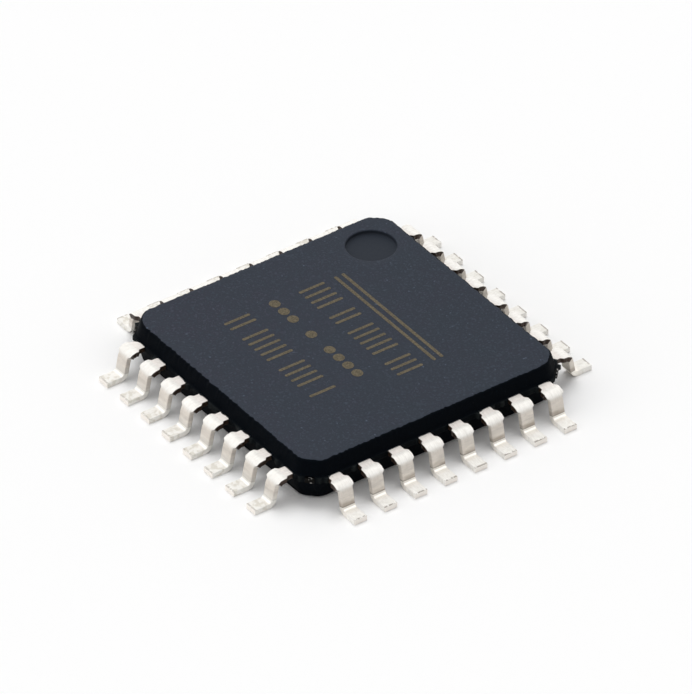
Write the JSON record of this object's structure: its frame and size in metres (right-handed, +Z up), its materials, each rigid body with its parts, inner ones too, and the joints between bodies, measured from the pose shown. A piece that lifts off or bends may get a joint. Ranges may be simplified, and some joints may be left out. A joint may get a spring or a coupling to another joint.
{
  "type": "quad flat pack chip",
  "caption": "Flat square moulded integrated circuit with a round pin mark in one corner of its top and gull-wing leads along every side, for soldering flat on a circuit board.",
  "frame": {"origin": "middle of the package on the board plane that the feet stand on", "axes": "+Z up out of the top face; +X and +Y along the sides, with pin 1 beside the corner at -X +Y and the pins counted counterclockwise from above"},
  "size_m": [0.009, 0.009, 0.0011],
  "materials": {
    "mould_compound": "matte fine-grained epoxy moulding compound, dark slate grey",
    "tin_plated_lead": "satin matte tin plate over copper alloy strip",
    "lead_frame_copper": "bare rolled copper alloy strip",
    "die_adhesive": "silver-filled epoxy film",
    "silicon": "polished silicon",
    "gold_wire": "drawn gold"
  },
  "bodies": {
    "root": {"mould_body": "mould_compound", "die_paddle": "lead_frame_copper", "die_attach": "die_adhesive", "silicon_die": "silicon", "lead_01": "tin_plated_lead", "lead_02": "tin_plated_lead", "lead_03": "tin_plated_lead", "lead_04": "tin_plated_lead", "lead_05": "tin_plated_lead", "lead_06": "tin_plated_lead", "lead_07": "tin_plated_lead", "lead_08": "tin_plated_lead", "lead_09": "tin_plated_lead", "lead_10": "tin_plated_lead", "lead_11": "tin_plated_lead", "lead_12": "tin_plated_lead", "lead_13": "tin_plated_lead", "lead_14": "tin_plated_lead", "lead_15": "tin_plated_lead", "lead_16": "tin_plated_lead", "lead_17": "tin_plated_lead", "lead_18": "tin_plated_lead", "lead_19": "tin_plated_lead", "lead_20": "tin_plated_lead", "lead_21": "tin_plated_lead", "lead_22": "tin_plated_lead", "lead_23": "tin_plated_lead", "lead_24": "tin_plated_lead", "lead_25": "tin_plated_lead", "lead_26": "tin_plated_lead", "lead_27": "tin_plated_lead", "lead_28": "tin_plated_lead", "lead_29": "tin_plated_lead", "lead_30": "tin_plated_lead", "lead_31": "tin_plated_lead", "lead_32": "tin_plated_lead", "bond_wires_west": "gold_wire", "bond_wires_south": "gold_wire", "bond_wires_east": "gold_wire", "bond_wires_north": "gold_wire"}
  },
  "joints": []
}
